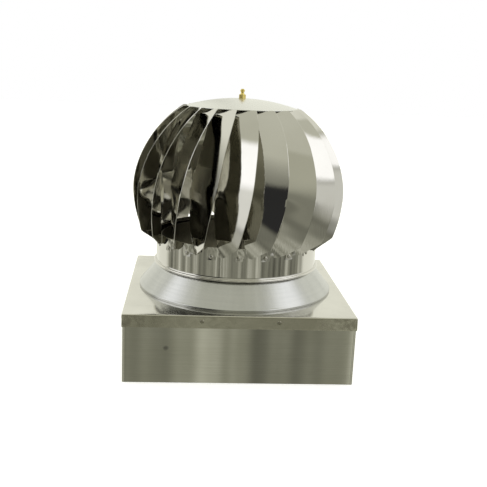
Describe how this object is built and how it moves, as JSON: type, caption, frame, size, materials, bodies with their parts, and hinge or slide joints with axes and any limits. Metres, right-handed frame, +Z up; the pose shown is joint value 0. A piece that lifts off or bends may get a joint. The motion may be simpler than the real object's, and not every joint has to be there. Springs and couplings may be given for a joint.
{
  "type": "rotating chimney cowl",
  "caption": "Wind-driven chimney cowl: a ball-shaped head of overlapping curved vanes turns on a greased spindle above a round neck, conical flashing and square sleeve base.",
  "frame": {"origin": "centre of the square sleeve's bottom edge, on the head's turning axis", "axes": "+Z up along the spindle, X and Y square to the sleeve's sides, -Y towards the front of the picture"},
  "size_m": [0.303, 0.303, 0.3676],
  "materials": {
    "polished_steel": "mirror-polished stainless sheet",
    "sheet_steel": "bright-annealed stainless sheet",
    "spun_steel": "spun and satin-polished stainless",
    "inner_steel": "plain rolled stainless",
    "plated_steel": "zinc-plated steel",
    "turned_steel": "turned bright steel",
    "bronze": "sintered bronze",
    "brass": "turned brass",
    "rivet_metal": "bright rivet heads"
  },
  "bodies": {
    "base": {"base_box": "sheet_steel", "cover_plate": "sheet_steel", "neck_tube": "inner_steel", "cone_flashing": "spun_steel", "strut_lower": "plated_steel", "strut_upper": "plated_steel", "spindle": "turned_steel", "spindle_washer": "plated_steel", "spindle_nut": "plated_steel", "strut_rivets": "rivet_metal", "lid_rivets": "rivet_metal", "neck_rivets": "rivet_metal"},
    "rotor": {"hub_housing": "plated_steel", "lower_bush": "bronze", "upper_bush": "bronze", "thrust_washer": "bronze", "retaining_ring": "turned_steel", "dome_cap": "polished_steel", "grease_nipple": "brass", "nipple_ball": "turned_steel", "rotor_skirt": "polished_steel", "vane_rivets": "rivet_metal", "vane_01": "polished_steel", "vane_02": "polished_steel", "vane_03": "polished_steel", "vane_04": "polished_steel", "vane_05": "polished_steel", "vane_06": "polished_steel", "vane_07": "polished_steel", "vane_08": "polished_steel", "vane_09": "polished_steel", "vane_10": "polished_steel", "vane_11": "polished_steel", "vane_12": "polished_steel", "vane_13": "polished_steel", "vane_14": "polished_steel", "vane_15": "polished_steel", "vane_16": "polished_steel", "vane_17": "polished_steel", "vane_18": "polished_steel", "vane_19": "polished_steel", "vane_20": "polished_steel"}
  },
  "joints": [
    {"name": "rotor_spin", "type": "hinge", "parent": "base", "child": "rotor", "pos_m": [0, 0, 0.2], "axis": [0, 0, 1], "continuous": true}
  ]
}
